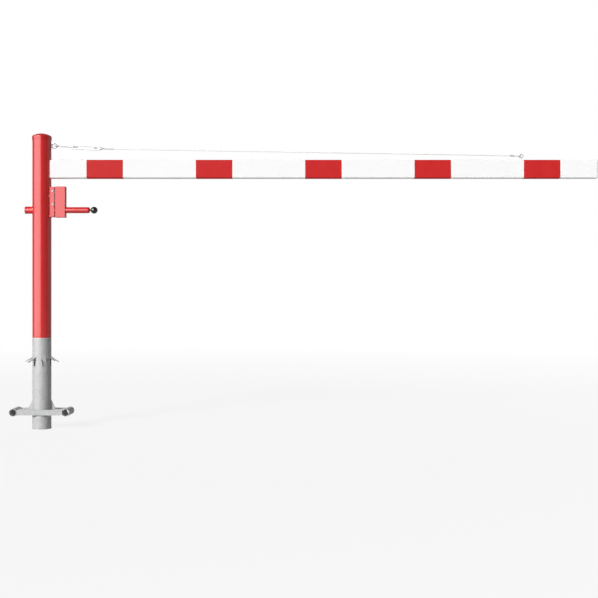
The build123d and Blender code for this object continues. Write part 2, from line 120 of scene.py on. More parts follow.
def outward(part):
    """Turns a closed part's faces round if its signed volume is negative: the sum of
    a.(b x c) / 6 over its triangles."""
    vertices, faces = part
    triangles = [f[:, :3] for f in faces] + [f[:, [0, 2, 3]] for f in faces if f.shape[1] == 4]
    a, b, c = (vertices[np.vstack(triangles)[:, k]] for k in range(3))
    if np.einsum("ij,ij->i", a, np.cross(b, c)).sum() < 0:
        faces = [f[:, ::-1] for f in faces]
    return vertices, faces


def lathe(along, radius, count=48):
    """A turned surface about the local X axis: (u, r cos a, r sin a) for each u and angle a,
    where r may change with both."""
    angle = np.linspace(0, 2 * math.pi, count, endpoint=False)
    radius = np.broadcast_to(np.reshape(radius, (len(along), -1)), (len(along), count))
    u = np.broadcast_to(np.reshape(along, (-1, 1)), radius.shape)
    return np.stack([u, radius * np.cos(angle), radius * np.sin(angle)], -1)


def tangents(path, closed=False):
    """Unit vectors from the point before to the point after each point of a path."""
    if closed:
        step = np.roll(path, -1, 0) - np.roll(path, 1, 0)
    else:
        step = np.gradient(path, axis=0)
    return step / np.linalg.norm(step, axis=1, keepdims=True)


def section_frame(path, side, closed=False):
    """Two unit vectors across a path: the given side without its part along the path,
    and the one square to both."""
    along = tangents(path, closed)
    across = np.broadcast_to(side, path.shape)
    across = across - along * np.einsum("ij,ij->i", across, along)[:, None]
    across = across / np.linalg.norm(across, axis=1, keepdims=True)
    return across, np.cross(along, across)


def tube(path, side, radius, count=16, closed=False):
    """A round bar along a path: p + r (n cos a + b sin a), with n and b across the path."""
    across, upright = section_frame(path, side, closed)
    angle = np.linspace(0, 2 * math.pi, count, endpoint=False)[None, :, None]
    radius = np.broadcast_to(radius, (len(path),))[:, None, None]
    round_it = across[:, None, :] * np.cos(angle) + upright[:, None, :] * np.sin(angle)
    return path[:, None, :] + radius * round_it


def path_length(path):
    """Distance along a path up to each of its points."""
    steps = np.linalg.norm(np.diff(path, axis=0), axis=1)
    return np.concatenate([[0.0], np.cumsum(steps)])


def even_path(path, spacing):
    """The same line with points at an even distance, by linear interpolation over its length."""
    distance = path_length(path)
    count = max(3, int(round(distance[-1] / spacing)) + 1)
    wanted = np.linspace(0, distance[-1], count)
    return np.stack([np.interp(wanted, distance, path[:, k]) for k in range(3)], -1)


def placed(points, origin, axes):
    """Local points in the frame of the model: origin + u X + v Y + w Z for the three axes given."""
    return np.asarray(points) @ np.array(axes, float) + np.asarray(origin, float)


def piece(name, parts, material, body, replaced=(), sharp_angle=35):
    """One mesh object from closed parts, riding on a body of the model."""
    vertices, faces, start = [], [], 0
    for part in parts:
        points, groups = outward(part)
        vertices.append(points)
        for group in groups:
            faces.extend((group + start).tolist())
        start += len(points)
    mesh = bpy.data.meshes.new(name)
    mesh.from_pydata(np.vstack(vertices).tolist(), [], faces)
    mesh.shade_smooth()
    mesh.set_sharp_from_angle(angle=math.radians(sharp_angle))
    mesh.materials.append(material)
    made = bpy.data.objects.new(name, mesh)
    bpy.context.scene.collection.objects.link(made)
    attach(made, body)
    if replaced:
        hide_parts(*replaced)
    return made


# Materials


def new_material(name, **values):
    """A material whose shader sockets hold the given numbers and colours."""
    made = bpy.data.materials.new(name)
    made.use_nodes = True
    shader = made.node_tree.nodes["Principled BSDF"]
    for socket, value in values.items():
        shader.inputs[socket.replace("_", " ")].default_value = value
    return made, made.node_tree, shader


def colour(red, green, blue):
    """A colour that covers fully."""
    return (red, green, blue, 1.0)


def grey(level, warmth=0.0):
    """A grey of that level, with its blue lowered by the warmth."""
    return colour(level, level, level - warmth)


def object_place(tree, scale=(1, 1, 1), turn=(0, 0, 0)):
    """Object coordinates, scaled and turned, as the place of a pattern."""
    source = tree.nodes.new("ShaderNodeTexCoord")
    mapping = tree.nodes.new("ShaderNodeMapping")
    mapping.inputs["Scale"].default_value = scale
    mapping.inputs["Rotation"].default_value = turn
    tree.links.new(source.outputs["Object"], mapping.inputs["Vector"])
    return mapping.outputs["Vector"]


def noise(tree, place, scale, detail=3.0, roughness=0.5):
    """Soft clouds from 0 to 1, about 1 / scale wide."""
    made = tree.nodes.new("ShaderNodeTexNoise")
    made.inputs["Scale"].default_value = scale
    made.inputs["Detail"].default_value = detail
    made.inputs["Roughness"].default_value = roughness
    tree.links.new(place, made.inputs["Vector"])
    return made.outputs["Fac"]


def spread(tree, value, low, high, start=0.0, end=1.0):
    """Carries a value from the range start to end over to the range low to high."""
    made = tree.nodes.new("ShaderNodeMapRange")
    made.inputs["From Min"].default_value = start
    made.inputs["From Max"].default_value = end
    made.inputs["To Min"].default_value = low
    made.inputs["To Max"].default_value = high
    tree.links.new(value, made.inputs["Value"])
    return made.outputs["Result"]


def calculate(tree, operation, first, second=None):
    """A math node on sockets or numbers."""
    made = tree.nodes.new("ShaderNodeMath")
    made.operation = operation
    for socket, value in zip(made.inputs, (first, second)):
        if value is None:
            continue
        if isinstance(value, (int, float)):
            socket.default_value = value
        else:
            tree.links.new(value, socket)
    return made.outputs["Value"]


def blend_colours(tree, factor, first, second):
    """A colour between two, by a factor from 0 to 1."""
    ramp = tree.nodes.new("ShaderNodeValToRGB")
    ramp.color_ramp.elements[0].color = first
    ramp.color_ramp.elements[1].color = second
    tree.links.new(factor, ramp.inputs["Fac"])
    return ramp.outputs["Color"]


def add_bump(tree, shader, height, distance, strength=1.0):
    """Raises the surface by a pattern of height, at most by the distance."""
    bump = tree.nodes.new("ShaderNodeBump")
    bump.inputs["Distance"].default_value = distance
    bump.inputs["Strength"].default_value = strength
    tree.links.new(height, bump.inputs["Height"])
    tree.links.new(bump.outputs["Normal"], shader.inputs["Normal"])


def gloss_paint(name, dark, light, roughness, peel_size, peel_depth, **values):
    """Powder coat: a deep colour with slow variation, an even gloss and fine orange peel."""
    made, tree, shader = new_material(name, **values)
    place = object_place(tree)
    drift = noise(tree, place, 9.0)
    tree.links.new(blend_colours(tree, drift, dark, light), shader.inputs["Base Color"])
    tree.links.new(spread(tree, noise(tree, place, 60.0), roughness * 0.85, roughness * 1.15, 0.3, 0.7),
                   shader.inputs["Roughness"])
    add_bump(tree, shader, noise(tree, place, 1 / peel_size, 2.0), peel_depth, 0.6)
    return made


def red_powder_coat():
    """The gloss red of the post and the lock, with peel 3.2 mm wide."""
    return gloss_paint("red_powder_coat", colour(0.61, 0.014, 0.014), colour(0.67, 0.018, 0.018),
                       0.20, 3.2 * MM, 0.05 * MM, Specular_IOR_Level=0.85)


def red_cap():
    """Moulded cap: a slightly deeper red with a finer grain."""
    return gloss_paint("red_cap", colour(0.56, 0.013, 0.012), colour(0.61, 0.016, 0.015),
                       0.20, 1.1 * MM, 0.02 * MM, Specular_IOR_Level=0.8)


def galvanised_steel():
    """Hot-dip zinc: angular spangles that differ in grey and in gloss, under a soft drift."""
    made, tree, shader = new_material("galvanised_steel", Metallic=0.1, Specular_IOR_Level=0.3)
    place = object_place(tree)
    spangle = tree.nodes.new("ShaderNodeTexVoronoi")
    spangle.inputs["Scale"].default_value = 95.0
    tree.links.new(place, spangle.inputs["Vector"])
    split = tree.nodes.new("ShaderNodeSeparateColor")
    tree.links.new(spangle.outputs["Color"], split.inputs["Color"])
    drift = noise(tree, place, 14.0)
    tone = calculate(tree, "ADD", spread(tree, split.outputs["Red"], 0.0, 0.55),
                     spread(tree, drift, 0.0, 0.45, 0.3, 0.7))
    tree.links.new(blend_colours(tree, tone, colour(0.43, 0.435, 0.435), colour(0.53, 0.535, 0.53)),
                   shader.inputs["Base Color"])
    tree.links.new(spread(tree, split.outputs["Green"], 0.48, 0.66), shader.inputs["Roughness"])
    add_bump(tree, shader, noise(tree, place, 160.0), 0.08 * MM, 0.5)
    return made


def white_coated_aluminium():
    """White powder coat with a fine even texture."""
    made, tree, shader = new_material("white_coated_aluminium", Specular_IOR_Level=0.1)
    place = object_place(tree)
    drift = noise(tree, place, 5.0)
    tree.links.new(blend_colours(tree, drift, grey(0.85, 0.003), grey(0.875)),
                   shader.inputs["Base Color"])
    tree.links.new(spread(tree, noise(tree, place, 45.0), 0.46, 0.56, 0.3, 0.7), shader.inputs["Roughness"])
    add_bump(tree, shader, noise(tree, place, 700.0, 2.0), 0.04 * MM, 0.5)
    return made


def line_family(tree, turn, pitch, width):
    """Thin parallel lines over the arm's front and back, turned by that angle and a pitch
    apart: 1 on each line, falling with |sin(pi x / pitch)| to 0 at the width from it."""
    place = object_place(tree, turn=(0, turn, 0))
    split = tree.nodes.new("ShaderNodeSeparateXYZ")
    tree.links.new(place, split.inputs["Vector"])
    wave = calculate(tree, "SINE", calculate(tree, "MULTIPLY", split.outputs["X"], math.pi / pitch))
    return spread(tree, calculate(tree, "ABSOLUTE", wave), 1.0, 0.0, 0.0, math.sin(math.pi * width / pitch))


def red_film():
    """Retroreflective film: a clear satin face over small lozenge cells with lighter seals."""
    made, tree, shader = new_material("red_film", Specular_IOR_Level=0.08)
    place = object_place(tree)
    turn, pitch, width = math.radians(30), 4.5 * MM, 0.45 * MM
    seal = calculate(tree, "MAXIMUM", line_family(tree, turn, pitch, width),
                     line_family(tree, -turn, pitch, width))
    drift = noise(tree, place, 22.0)
    tone = calculate(tree, "ADD", calculate(tree, "MULTIPLY", seal, 0.5),
                     spread(tree, drift, 0.0, 0.4, 0.3, 0.7))
    tree.links.new(blend_colours(tree, tone, colour(0.53, 0.019, 0.020), colour(0.60, 0.030, 0.031)),
                   shader.inputs["Base Color"])
    tree.links.new(spread(tree, seal, 0.42, 0.52), shader.inputs["Roughness"])
    add_bump(tree, shader, seal, 0.02 * MM, 0.4)
    return made


def bright_metal(name, dark, light, smooth, rough, metal=1.0, grain=260.0):
    """Plated or drawn steel: fine clouds of tone and gloss. Less metal makes it milkier."""
    made, tree, shader = new_material(name, Metallic=metal)
    place = object_place(tree)
    cloud = noise(tree, place, 70.0, 4.0)
    tree.links.new(blend_colours(tree, spread(tree, cloud, 0.0, 1.0, 0.3, 0.7), dark, light),
                   shader.inputs["Base Color"])
    tree.links.new(spread(tree, noise(tree, place, grain), smooth, rough, 0.3, 0.7),
                   shader.inputs["Roughness"])
    add_bump(tree, shader, noise(tree, place, grain * 2), 0.02 * MM, 0.4)
    return made


def plain_plastic(name, dark, light, smooth, rough, **values):
    """Moulded plastic: a fine eroded grain, with a slow change of tone and gloss."""
    made, tree, shader = new_material(name, **values)
    place = object_place(tree)
    tree.links.new(blend_colours(tree, noise(tree, place, 25.0), dark, light),
                   shader.inputs["Base Color"])
    tree.links.new(spread(tree, noise(tree, place, 120.0), smooth, rough, 0.3, 0.7),
                   shader.inputs["Roughness"])
    add_bump(tree, shader, noise(tree, place, 1500.0, 2.0), 0.015 * MM, 0.4)
    return made


def finish_name(material):
    """A material's name, without the number that Blender adds to a second one of that name."""
    return material.name.split(".")[0]


def make_materials():
    """Each finish by the name of its slot in the record, with a paler copy of the zinc, partly painted
    sheen, and a darker copy as painted shade besides.
    """
    made = [
        red_powder_coat(),
        red_cap(),
        galvanised_steel(),
        plain_plastic("bearing_plastic", colour(0.74, 0.72, 0.64), colour(0.82, 0.80, 0.73), 0.38, 0.5),
        white_coated_aluminium(),
        red_film(),
        plain_plastic("grey_plastic", grey(0.60), grey(0.66), 0.42, 0.55),
        bright_metal("zinc_plated_steel", grey(0.44, 0.02), colour(0.58, 0.57, 0.53), 0.28, 0.42, 0.6),
        # A paler copy of the zinc: its raised base colour is partly a painted reflection of the white
        # surroundings and paints the highlights on the lock screws.
        bright_metal("pale_zinc_painted_sheen", grey(0.60, 0.01), grey(0.70, 0.02), 0.35, 0.5, 0.4),
        # A dark copy of the zinc: painted shade on the ball's stud in the narrow gap between the bolt and
        # the ball.
        bright_metal("zinc_painted_shade", grey(0.15), grey(0.22, 0.005), 0.3, 0.45, 0.8),
        # The wire's pale base colour is partly a painted reflection of the white surroundings.
        bright_metal("wire_rope", grey(0.74), grey(0.86, 0.01), 0.35, 0.5, 0.3),
        bright_metal("dark_steel", grey(0.045, -0.003), grey(0.085), 0.4, 0.6),
        plain_plastic("black_plastic", grey(0.004), grey(0.008), 0.07, 0.10, Specular_IOR_Level=0.9),
    ]
    return {finish_name(material): material for material in made}


# Fasteners


def hexagon(apothem, count):
    """The distance from the middle to a hexagon's edge at each angle: the apothem over
    the cosine of the angle from the middle of the flat."""
    angle = np.linspace(0, 2 * math.pi, count, endpoint=False)
    return apothem / np.cos((angle + math.pi / 6) % (math.pi / 3) - math.pi / 6)


def hex_nut(across_flats, height, bore, count=72):
    """A nut on the local X axis. At each u its radius is the smaller of the hexagon's and
    of f + u / tan 30, where f is the radius of its face and u the distance to the nearer
    one. Its bore opens by a lead at both faces."""
    apothem = across_flats / 2
    corner = apothem / math.cos(math.pi / 6)
    face_radius = 0.97 * apothem
    slope = math.tan(math.radians(30))
    rise = np.linspace(0, (corner - face_radius) * slope, 5)
    level = np.concatenate([rise, height - rise[::-1]])
    cone = face_radius + np.minimum(level, height - level) / slope
    outside = np.minimum(hexagon(apothem, count)[None, :], cone[:, None])
    lead = 0.4 * MM
    along = np.concatenate([[lead, 0.0], level, [height, height - lead]])
    inside = np.full((1, count), bore)
    mouth = inside + lead
    return lathe(along, np.vstack([inside, mouth, outside, mouth, inside]), count)


def socket_screw(head_radius, head_height, shank_radius, length, key, count=72):
    """A button head screw on the local X axis, its head towards -X and its seat at u = 0.
    Over a low rim the head is a quarter ellipse, (-h cos t, r sin t), that ends at the
    mouth of a hexagon socket. The shank runs to u = length."""
    socket = hexagon(key / 2, count)
    depth = 0.6 * head_height
    rim, chamfer, lead = 0.04 * head_height, 0.5 * MM, 0.1 * MM
    turn = np.linspace(math.asin(1.25 * key / 2 / head_radius), math.pi / 2, 9)
    dome_along = -(head_height - rim) * np.cos(turn) - rim
    dome = np.broadcast_to((head_radius * np.sin(turn))[:, None], (len(turn), count))
    mouth = dome_along[0]
    shank = np.full(count, shank_radius)
    rings = [(mouth + depth, socket * 0.6), (mouth + depth, socket),
             (mouth + lead, socket), (mouth, socket * 1.06)]
    rings += list(zip(dome_along, dome))
    rings += [(0.0, np.full(count, head_radius)), (0.0, shank),
              (length - chamfer, shank), (length, shank - chamfer)]
    return lathe([u for u, _ in rings], np.array([r for _, r in rings]), count)


def thread(start, end, count=24, steps=8):
    """A threaded rod on the local X axis: r = R - depth (1 - |2 f - 1|), where f is the
    fraction of u / pitch - angle / turn, and the ridge fades out over a pitch at each end."""
    rows = int(round((end - start) / THREAD_PITCH * steps)) + 1
    along = np.linspace(start, end, rows)
    angle = np.linspace(0, 1, count, endpoint=False)
    phase = (along[:, None] / THREAD_PITCH - angle[None, :]) % 1.0
    ridge = np.abs(2 * phase - 1)
    fade = np.clip(np.minimum(along - start, end - along) / THREAD_PITCH, 0, 1)[:, None]
    return lathe(along, STAY_THREAD - THREAD_DEPTH * (1 - ridge * fade), count)


# Weld beads


def bead(path, side, radius=WELD_RADIUS, closed=False):
    """A weld bead: a bar along a path with the radius r (1 + 0.16 |cos(pi s / ripple)|) at
    the distance s, which at an open end falls to half within one ripple."""
    steps, swelling = 6, 0.16
    path = even_path(np.vstack([path, path[:1]]) if closed else path, WELD_RIPPLE / steps)
    if closed:
        path = path[:-1]
    turns = path_length(path) / WELD_RIPPLE
    swell = 1 + swelling * np.abs(np.cos(math.pi * turns))
    if not closed:
        reach = np.arange(len(path))
        ends = np.clip(np.minimum(reach, reach[::-1]) / steps, 0, 1)
        swell = swell * np.sqrt(0.25 + 0.75 * ends * (2 - ends))
    return skin(tube(path, side, radius * swell, 10, closed), closed)


def saddle(radius, height, direction, count=96):
    """The line where a tube across the post meets it: (sqrt(R^2 - y^2), y, z) for y and z
    round the smaller tube's circle."""
    angle = np.linspace(0, 2 * math.pi, count, endpoint=False)
    y, z = radius * np.cos(angle), radius * np.sin(angle)
    x = direction * np.sqrt(TUBE_RADIUS**2 - y**2)
    return np.stack([x, y, height + z], -1)


def on_the_post(y, z, direction=1):
    """Points on the post's wall over the given y and z."""
    y = np.asarray(y, float)
    return np.stack([direction * np.sqrt(TUBE_RADIUS**2 - y**2), y, np.asarray(z, float)], -1)


# Pieces


def eye_middle(node, inwards):
    """The middle of the ring of an eye bolt whose shank points that way from it."""
    low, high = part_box(node)
    if inwards == "-X":
        ring = (high.z - low.z) / 2
        return Vector((high.x - ring, 0, (low.z + high.z) / 2))
    ring = (high.x - low.x) / 2
    return Vector(((low.x + high.x) / 2, 0, high.z - ring))


def line_axes(start, end):
    """Unit vectors along the line from start to end, across it, and square to both."""
    along = (end - start).normalized()
    across = Vector((0, 1, 0))
    return along, across, along.cross(across)


def span(node, start, axes):
    """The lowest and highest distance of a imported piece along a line."""
    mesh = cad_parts[node].data
    points = np.zeros(len(mesh.vertices) * 3, np.float32)
    mesh.vertices.foreach_get("co", points)
    distance = (points.reshape(-1, 3) - np.array(start)) @ np.array(axes[0])
    return float(distance.min()), float(distance.max())


def turnbuckle_line():
    """The line from the post eye's middle through the middle of the turnbuckle's frame."""
    start = eye_middle("stay_eye_bolt", "-X")
    low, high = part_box("turnbuckle_frame")
    return start, line_axes(start, Vector((low + high) / 2))


def wire_line():
    """The line from the end of the swaged stud to the arm eye's middle."""
    start, axes = turnbuckle_line()
    _, stud_end = span("turnbuckle_wire_stud", start, axes)
    start = start + axes[0] * stud_end
    return start, line_axes(start, eye_middle("arm_eye_bolt", "-Z"))


def eye_rod(materials):
    """The turnbuckle's rod: a round bar bent to a ring, a turned neck and a rolled thread."""
    start, axes = turnbuckle_line()
    first, last = span("turnbuckle_eye_rod", start, axes)
    frame_first, _ = span("turnbuckle_frame", start, axes)
    low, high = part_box("turnbuckle_eye_rod")
    ring = (high.y - low.y) / 2 - EYE_ROD
    centre = first + ring + EYE_ROD
    angle = np.linspace(0, 2 * math.pi, 96, endpoint=False)
    circle = np.stack([centre + ring * np.cos(angle), ring * np.sin(angle), 0 * angle], -1)
    eye = tube(circle, (0, 0, 1), EYE_ROD, 20, closed=True)
    neck_end = frame_first - NECK_LENGTH
    thread_root = STAY_THREAD - THREAD_DEPTH
    neck = lathe([centre + ring, neck_end - 1 * MM, neck_end], [EYE_ROD, EYE_ROD, thread_root], 24)
    parts = [skin(placed(eye, start, axes), True), skin(placed(neck, start, axes)),
             skin(placed(thread(neck_end, last), start, axes))]
    # The eye rod takes the paler zinc, whose raised colour is partly painted sheen.
    return piece("turnbuckle_threaded_eye_rod", parts, materials["pale_zinc_painted_sheen"], "turning_post",
                 ["turnbuckle_eye_rod"])


def wire_stud(materials):
    """The threaded stud, and the sleeve that is pressed on the wire: a cone with rounded
    ends, less the upper halves of a sine wave for its five bites."""
    start, axes = turnbuckle_line()
    first, last = span("turnbuckle_wire_stud", start, axes)
    sleeve = last - SLEEVE_LENGTH
    u = np.linspace(0, 1, 91)
    taper = STAY_THREAD - (STAY_THREAD - SLEEVE_TIP) * u
    bites, bite_depth, first_bite = 5, 0.22 * MM, 0.08
    bitten = np.clip(np.sin(bites * 2 * math.pi * (u - first_bite)), 0, 1) * (u > first_bite)
    rounding, end_size = 0.02, 0.86
    rounded = np.sqrt(np.clip(np.minimum(u, 1 - u) / rounding, 0, 1))
    radius = (taper - bite_depth * bitten) * (end_size + (1 - end_size) * rounded)
    parts = [skin(placed(thread(first, sleeve), start, axes)),
             skin(placed(lathe(sleeve + u * SLEEVE_LENGTH, radius, 32), start, axes))]
    # The stud takes the paler zinc, whose raised colour is partly painted sheen.
    return piece("turnbuckle_swaged_stud", parts, materials["pale_zinc_painted_sheen"], "turning_post",
                 ["turnbuckle_wire_stud"])


def rope_line(first, ferrule_first, ferrule_last, loop_centre, loop_radius):
    """The wire's centre line: straight into the ferrule, out along one leg, round the
    thimble and back beside itself. Along the ferrule it moves aside by 3 t^2 - 2 t^3 of
    half the gap between the two legs."""
    half_gap = ROPE_RADIUS + 0.05 * MM
    leg = ferrule_last
    reach = loop_centre - leg
    touch = math.acos(loop_radius / math.hypot(reach, half_gap))
    turn = math.pi - math.atan2(half_gap, reach) - touch
    angle = np.linspace(turn, -turn, 60)
    arc = np.stack([loop_centre + loop_radius * np.cos(angle), loop_radius * np.sin(angle)], -1)
    inside = np.linspace(0, 1, 12)
    ease = inside * inside * (3 - 2 * inside) * half_gap
    shift = np.stack([ferrule_first + inside * (ferrule_last - ferrule_first), ease], -1)
    flat = np.vstack([[(first, 0.0)], shift, arc, shift[::-1] * (1, -1)])
    return np.column_stack([flat, np.zeros(len(flat))])


def stranded_rope(line, spacing=ROPE_LAY / 12):
    """Six strands laid round a core: each is a thin bar round p + 2 s (n cos t + b sin t),
    where s is the strand's radius and t turns once in each lay length, a sixth of a turn
    after the strand before."""
    line = even_path(line, spacing)
    across, upright = section_frame(line, (0, 0, 1))
    strand = ROPE_RADIUS / 3
    parts = [skin(tube(line, (0, 0, 1), strand * 1.1, 6))]
    for number in range(ROPE_STRANDS):
        turn = 2 * math.pi * (path_length(line) / ROPE_LAY + number / ROPE_STRANDS)[:, None]
        outwards = across * np.cos(turn) + upright * np.sin(turn)
        parts.append(skin(tube(line + 2 * strand * outwards, outwards, strand, 6)))
    return parts


def stay_rope(materials):
    """The stay wire from inside the swaged stud to the thimble."""
    start, axes = wire_line()
    ferrule = span("stay_ferrule", start, axes)
    _, thimble_end = span("stay_thimble", start, axes)
    inside_sleeve = 4 * MM
    line = rope_line(-inside_sleeve, *ferrule, thimble_end - LOOP_RADIUS, LOOP_RADIUS)
    parts = [(placed(points, start, axes), faces) for points, faces in stranded_rope(line)]
    # The wire's pale base colour is partly a painted reflection.
    return piece("stranded_stay_wire", parts, materials["wire_rope"], "turning_post",
                 ["stay_wire"], sharp_angle=80)


def arm_screws(materials):
    """Two button head screws in the top of the arm."""
    low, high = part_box("arm_screws")
    head_radius, head_height, shank, key = 7 * MM, 4.5 * MM, 4 * MM, 5 * MM
    seat = high.z - head_height
    local = socket_screw(head_radius, head_height, shank, seat - low.z, key)
    axes = ((0, 0, -1), (1, 0, 0), (0, 1, 0))
    places = (low.x + head_radius, high.x - head_radius)
    parts = [skin(placed(local, (x, 0, seat), axes)) for x in places]
    return piece("arm_button_screws", parts, materials["zinc_plated_steel"], "turning_post",
                 ["arm_screws"])


def bolt_pin(materials):
    """A painted pin in the bolt's cross hole. Each end is a quarter ellipse that stays under
    the bolt's round."""
    low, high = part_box("lock_bolt")
    radius, dome, recess = 4.45 * MM, 1.2 * MM, 3.4 * MM
    turn = np.linspace(0, math.radians(80), 7)
    along = high.y - recess + dome * np.sin(turn)
    around = radius * np.cos(turn)
    along = np.concatenate([-along[::-1], along])
    around = np.concatenate([around[::-1], around])[:, None]
    place = (low.x + BOLT_PIN_PLACE, 0, (low.z + high.z) / 2)
    local = placed(lathe(along, around, 32), place, ((0, 1, 0), (0, 0, 1), (1, 0, 0)))
    return piece("lock_bolt_pin", [skin(local)], materials["red_powder_coat"], "sliding_bolt")


def lock_screws(materials):
    """Two button head screws in the side of the lock bracket."""
    low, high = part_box("lock_screws")
    head_radius, head_height, shank, key = 5 * MM, 3 * MM, 3 * MM, 4 * MM
    seat = low.y + head_height
    local = socket_screw(head_radius, head_height, shank, high.y - seat, key)
    axes = ((0, 1, 0), (0, 0, 1), (1, 0, 0))
    middle = (low.x + high.x) / 2
    heights = (low.z + head_radius, high.z - head_radius)
    parts = [skin(placed(local, (middle, seat, z), axes)) for z in heights]
    # The screws take the paler zinc, whose raised colour paints their highlights.
    return piece("lock_button_screws", parts, materials["pale_zinc_painted_sheen"], "turning_post",
                 ["lock_screws"])


def nut_pair(name, node, across_flats, height, bore, places, axes, finish):
    """Two nuts of one size that stand for a packed pair."""
    local = hex_nut(across_flats, height, bore)
    parts = [skin(placed(local, place, axes), True) for place in places]
    return piece(name, parts, finish, "turning_post", [node])


def all_nuts(materials):
    """The nuts on the lock screws, the turnbuckle, the arm eye and the post eye."""
    # pale is the paler copy of the zinc, whose raised colour is partly painted sheen.
    zinc, pale = materials["zinc_plated_steel"], materials["pale_zinc_painted_sheen"]
    along_x, along_y, along_z = (1, 0, 0), (0, 1, 0), (0, 0, 1)
    across, bore = 10 * MM, 3.05 * MM
    low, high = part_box("lock_nuts")
    middle = (low.x + high.x) / 2
    heights = (low.z + across / 2, high.z - across / 2)
    nut_pair("lock_hex_nuts", "lock_nuts", across, high.y - low.y, bore,
             [(middle, low.y, z) for z in heights], (along_y, along_x, (0, 0, -1)), zinc)
    across, bore = 10 * MM, 3.2 * MM
    low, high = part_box("arm_eye_nuts")
    middle = (low.x + high.x) / 2
    nut_pair("arm_eye_hex_nuts", "arm_eye_nuts", across, STAY_NUT, bore,
             [(middle, 0, low.z), (middle, 0, high.z - STAY_NUT)], (along_z, along_x, along_y), pale)
    across, bore = 15 * MM, 3.7 * MM
    low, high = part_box("stay_eye_nuts")
    middle = (low.z + high.z) / 2
    nut_pair("stay_eye_hex_nuts", "stay_eye_nuts", across, POST_EYE_NUT, bore,
             [(low.x, 0, middle), (high.x - POST_EYE_NUT, 0, middle)], (along_x, along_y, along_z), zinc)
    across, bore = 13 * MM, 4.2 * MM
    start, axes = turnbuckle_line()
    first, last = span("turnbuckle_lock_nuts", start, axes)
    nut_pair("turnbuckle_hex_lock_nuts", "turnbuckle_lock_nuts", across, STAY_NUT, bore,
             [start + axes[0] * u for u in (first, last - STAY_NUT)], axes, pale)


def post_welds(materials):
    """Beads where the keeper and the lock bracket meet the post."""
    low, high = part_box("bolt_keeper")
    radius = (high.z - low.z) / 2
    keeper = saddle(radius, (low.z + high.z) / 2, -1)
    parts = [bead(keeper, (-1, 0, 0), closed=True)]
    low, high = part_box("lock_bracket")
    y = np.array([-1, 1, 1, -1]) * high.y
    z = np.array([low.z, low.z, high.z, high.z])
    ends = np.stack([y, z], -1)
    sides = [np.linspace(a, b, 30, endpoint=False) for a, b in zip(ends, np.roll(ends, -1, 0))]
    outline = np.vstack(sides)
    parts.append(bead(on_the_post(outline[:, 0], outline[:, 1]), (1, 0, 0), closed=True))
    return piece("post_weld_beads", parts, materials["red_powder_coat"], "turning_post",
                 sharp_angle=60)


def anchor_welds(materials):
    """Beads that hold the foot plate, the bars, the webs and the cross tubes together."""
    low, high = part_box("foot_plate")
    angle = np.linspace(0, 2 * math.pi, 160, endpoint=False)
    foot = np.stack([TUBE_RADIUS * np.cos(angle), TUBE_RADIUS * np.sin(angle), 0 * angle + high.z], -1)
    parts = [bead(foot, (0, 0, 1), FOOT_WELD_RADIUS, closed=True)]
    inset = 1 * MM
    bar_low, bar_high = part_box("anchor_bar_front")
    heights = np.linspace(bar_low.z + inset, bar_high.z - inset, 24)
    beside_axis = 15 * MM
    wall = math.sqrt(TUBE_RADIUS**2 - beside_axis**2) + inset
    for side in (-1, 1):
        for face in (-1, 1):
            line = np.stack([0 * heights + side * beside_axis, 0 * heights + face * wall, heights], -1)
            parts.append(bead(line, (1, 0, 0)))
    for side, node in ((-1, "anchor_web_left"), (1, "anchor_web_right")):
        low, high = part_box(node)
        tall = np.linspace(bar_high.z + inset, high.z - inset, 30)
        for face in (low.y, high.y):
            parts.append(bead(on_the_post(0 * tall + face, tall, side), (0, 1, 0), FINE_WELD_RADIUS))
    for side, node in ((-1, "anchor_tube_left"), (1, "anchor_tube_right")):
        low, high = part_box(node)
        radius = (high.x - low.x) / 2
        middle, level = (low.x + high.x) / 2, (low.z + high.z) / 2
        reach = math.asin((bar_high.z - level) / radius)
        turn = np.linspace(-reach, reach, 30)
        x, z = middle - side * radius * np.cos(turn), level + radius * np.sin(turn)
        for face in (bar_low.y, -bar_low.y):
            parts.append(bead(np.stack([x, 0 * turn + face, z], -1), (0, 1, 0), FINE_WELD_RADIUS))
    return piece("anchor_weld_beads", parts, materials["galvanised_steel"], "ground_part",
                 sharp_angle=60)


def dress_nodes(materials):
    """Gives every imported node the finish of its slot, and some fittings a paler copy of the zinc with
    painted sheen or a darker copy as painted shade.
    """
    for name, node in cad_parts.items():
        for slot in node.material_slots:
            finish = FITTINGS_WITH_PAINTED_LIGHT.get(name, finish_name(slot.material))
            slot.material = materials[finish]


# Stage


def watched_rays(tree):
    """Two sockets: 1 for rays from the camera, and 1 for those from gloss and glass."""
    path = tree.nodes.new("ShaderNodeLightPath")
    shiny = calculate(tree, "MAXIMUM", path.outputs["Is Glossy Ray"], path.outputs["Is Transmission Ray"])
    return path.outputs["Is Camera Ray"], shiny


